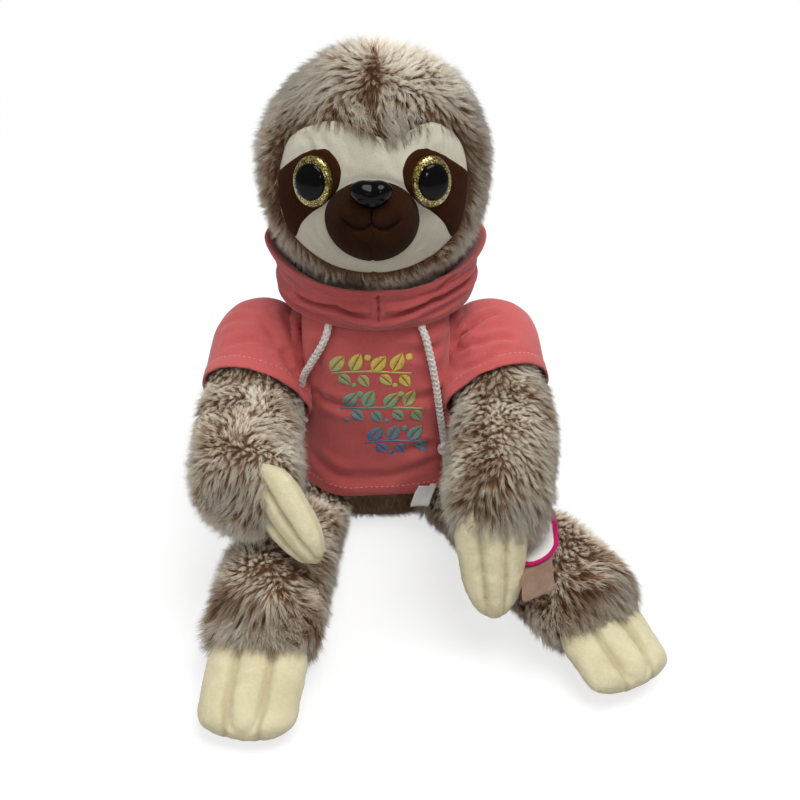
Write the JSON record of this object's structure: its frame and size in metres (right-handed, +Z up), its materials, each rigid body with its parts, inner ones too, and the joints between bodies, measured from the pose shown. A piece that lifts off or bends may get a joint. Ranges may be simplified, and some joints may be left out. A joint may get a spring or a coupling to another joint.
{
  "type": "plush sloth",
  "caption": "Seated plush sloth in a short-sleeved hoodie, with sewn claw pads, a felt face, glitter eyes, drawstrings and swing tags",
  "frame": {"origin": "on the floor under the seated torso, on the neck's upright axis", "axes": "+Z up, the face looks along -Y, +X is the toy's own left; the seat's flat face looks down"},
  "size_m": [0.2626, 0.287, 0.29],
  "materials": {
    "fur": "frosted long pile plush, brown roots and pale tips",
    "stuffing": "polyester fibre fill",
    "cream_plush": "short velour claws",
    "pale_plush": "short grey-cream plush",
    "dark_felt": "dark brown short plush",
    "thread": "dark embroidery thread",
    "pink_knit": "salmon pink fine knit",
    "cotton": "off-white braided cord",
    "black_plastic": "glossy black",
    "gold_glitter": "gold glitter under a clear coat",
    "clear_plastic": "natural translucent",
    "satin": "white satin ribbon",
    "kraft_card": "uncoated kraft",
    "gloss_card": "white card with a magenta border"
  },
  "bodies": {
    "torso": {"torso_skin": "fur", "torso_fill": "stuffing", "hoodie_body": "pink_knit", "hoodie_cowl": "pink_knit", "care_label": "satin", "drawstring_right": "cotton", "drawstring_knot_right": "cotton", "drawstring_left": "cotton", "drawstring_knot_left": "cotton"},
    "head": {"head_skin": "fur", "head_fill": "stuffing", "face_panel": "pale_plush", "eye_patch_right": "dark_felt", "eye_patch_left": "dark_felt", "eye_iris_right": "gold_glitter", "eye_pupil_right": "black_plastic", "eye_washer_right": "clear_plastic", "eye_iris_left": "gold_glitter", "eye_pupil_left": "black_plastic", "eye_washer_left": "clear_plastic", "muzzle": "dark_felt", "nose": "black_plastic", "nose_washer": "clear_plastic", "mouth_stitch": "thread"},
    "arm_right": {"arm_skin_right": "fur", "arm_fill_right": "stuffing", "hand_claws_right": "cream_plush", "hoodie_sleeve_right": "pink_knit"},
    "arm_left": {"arm_skin_left": "fur", "arm_fill_left": "stuffing", "hand_claws_left": "cream_plush", "hoodie_sleeve_left": "pink_knit", "kraft_tag": "kraft_card", "edge_tag": "gloss_card", "tag_pin": "clear_plastic"},
    "leg_right": {"leg_skin_right": "fur", "leg_fill_right": "stuffing", "foot_claws_right": "cream_plush"},
    "leg_left": {"leg_skin_left": "fur", "leg_fill_left": "stuffing", "foot_claws_left": "cream_plush"}
  },
  "joints": [
    {"name": "neck_turn", "type": "hinge", "parent": "torso", "child": "head", "pos_m": [0, 0, 0.16], "axis": [0, 0, 1], "range_deg": [-20, 20], "stiffness_Nm_per_rad": 0.3},
    {"name": "shoulder_right", "type": "hinge", "parent": "torso", "child": "arm_right", "pos_m": [-0.069, 0, 0.114], "axis": [-1, 0, 0], "range_deg": [0, 30]},
    {"name": "shoulder_left", "type": "hinge", "parent": "torso", "child": "arm_left", "pos_m": [0.069, 0, 0.114], "axis": [-1, 0, 0], "range_deg": [0, 30]},
    {"name": "hip_right", "type": "hinge", "parent": "torso", "child": "leg_right", "pos_m": [-0.042, -0.0055, 0.016], "axis": [0, 0, -1], "range_deg": [0, 35]},
    {"name": "hip_left", "type": "hinge", "parent": "torso", "child": "leg_left", "pos_m": [0.042, -0.0055, 0.016], "axis": [0, 0, 1], "range_deg": [0, 25]}
  ]
}
